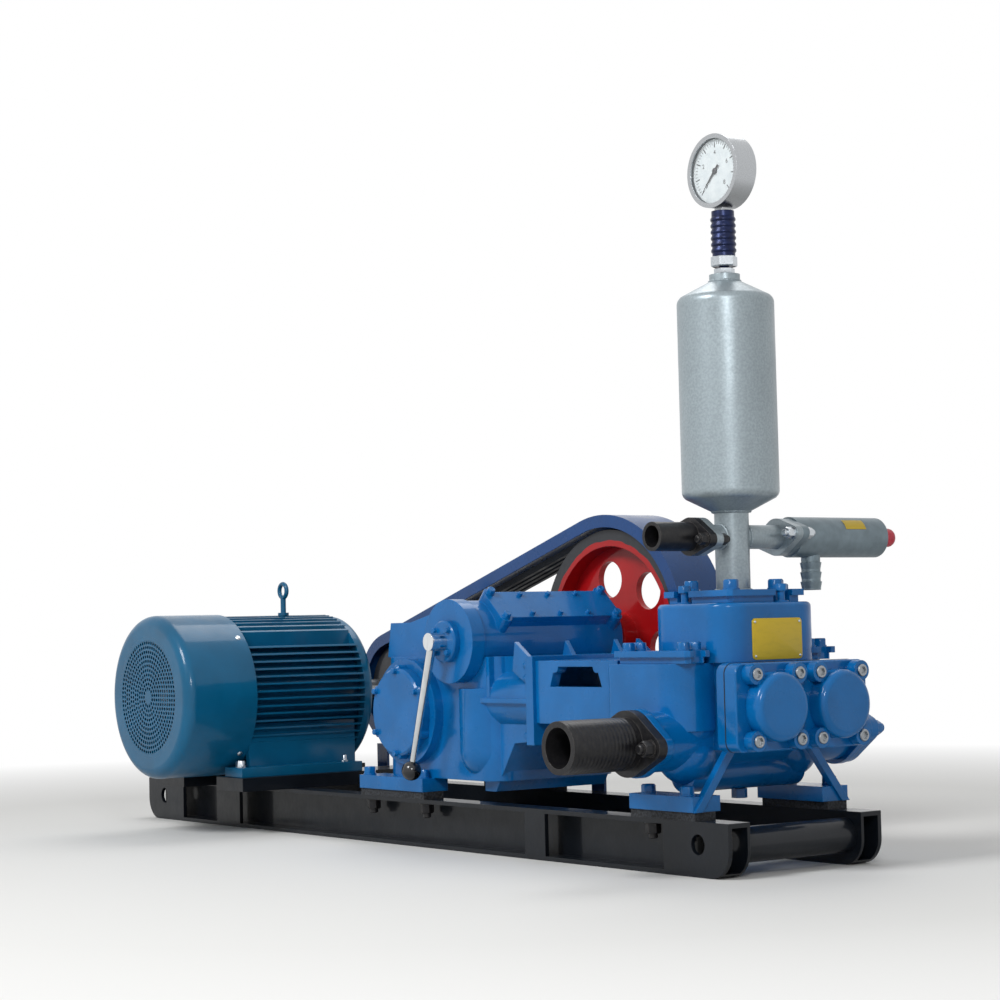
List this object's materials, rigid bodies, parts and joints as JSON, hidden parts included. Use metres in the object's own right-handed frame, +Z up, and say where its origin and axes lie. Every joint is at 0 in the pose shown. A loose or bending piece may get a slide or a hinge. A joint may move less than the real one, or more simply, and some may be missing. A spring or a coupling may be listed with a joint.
{
  "type": "triplex mud pump",
  "caption": "Skid-mounted horizontal plunger mud pump with electric motor, V-belt drive, gear lever, air chamber and pressure gauge.",
  "frame": {"origin": "centre of the skid's footprint on the ground, on the underside of the middle cross beam", "axes": "+X along the skid to the fluid end, +Y across to the belt side, +Z up"},
  "size_m": [2.044, 0.804, 1.274],
  "materials": {
    "black_paint": "satin black enamel",
    "pad_rubber": "matt",
    "teal_paint": "gloss enamel",
    "blue_paint": "gloss enamel",
    "guard_paint": "gloss enamel on sheet",
    "red_paint": "enamel",
    "belt_rubber": "cloth-faced rubber",
    "turned_steel": "turned",
    "zinc_steel": "zinc plated",
    "lever_chrome": "polished",
    "knob_plastic": "gloss",
    "chamber_silver": "aluminium paint",
    "nipple_black": "black oxide",
    "relief_grey": "aluminium paint",
    "cap_red": "gloss",
    "damper_navy": "anodised",
    "gauge_steel": "satin"
  },
  "bodies": {
    "root": {"near_rail": "black_paint", "far_rail": "black_paint", "front_cross_pipe": "black_paint", "rear_cross_pipe": "black_paint", "cross_beams": "black_paint", "motor_slide_front": "black_paint", "motor_slide_rear": "black_paint", "foot_pads": "pad_rubber", "motor_frame": "teal_paint", "motor_end_shield": "teal_paint", "motor_fan_cowl": "teal_paint", "fan_grille": "teal_paint", "motor_terminal_box": "teal_paint", "motor_eye_bolt": "zinc_steel", "drive_belts": "belt_rubber", "belt_guard": "guard_paint", "guard_brackets": "guard_paint", "crankcase": "blue_paint", "crank_cover_near": "blue_paint", "crank_cover_far": "blue_paint", "gear_case": "blue_paint", "gear_case_cover": "blue_paint", "lever_boss": "blue_paint", "guide_frame": "blue_paint", "piston_rods": "turned_steel", "fluid_end_block": "blue_paint", "suction_nipple": "nipple_black", "suction_blind_flange": "blue_paint", "front_plate": "blue_paint", "dome_cover_near": "blue_paint", "dome_cover_far": "blue_paint", "valve_cover_near": "blue_paint", "valve_cover_far": "blue_paint", "discharge_tower": "blue_paint", "tower_cover": "blue_paint", "front_feet": "blue_paint", "drain_plug": "blue_paint", "discharge_tee": "chamber_silver", "discharge_nipple": "nipple_black", "relief_valve": "relief_grey", "relief_cap": "cap_red", "air_chamber": "chamber_silver", "gauge_damper": "damper_navy", "pressure_gauge": "gauge_steel"},
    "lever": {"shift_lever": "lever_chrome", "shift_knob": "knob_plastic"},
    "pump_drive": {"pump_pulley": "red_paint", "input_shaft": "turned_steel"},
    "motor_rotor": {"motor_shaft": "turned_steel", "motor_pulley": "red_paint", "motor_fan": "nipple_black"}
  },
  "joints": [
    {"name": "gear_lever", "type": "hinge", "parent": "root", "child": "lever", "pos_m": [0.228, -0.194, 0.396], "axis": [0, 1, 0], "range_deg": [-38, 22]},
    {"name": "pump_spin", "type": "hinge", "parent": "root", "child": "pump_drive", "pos_m": [0.228, 0.257, 0.396], "axis": [0, 1, 0], "continuous": true},
    {"name": "motor_spin", "type": "hinge", "parent": "root", "child": "motor_rotor", "pos_m": [-0.55, 0.257, 0.29], "axis": [0, 1, 0], "continuous": true}
  ],
  "couplings": [
    {"joint": "motor_spin", "follows": "pump_spin", "ratio": 2.3444}
  ]
}
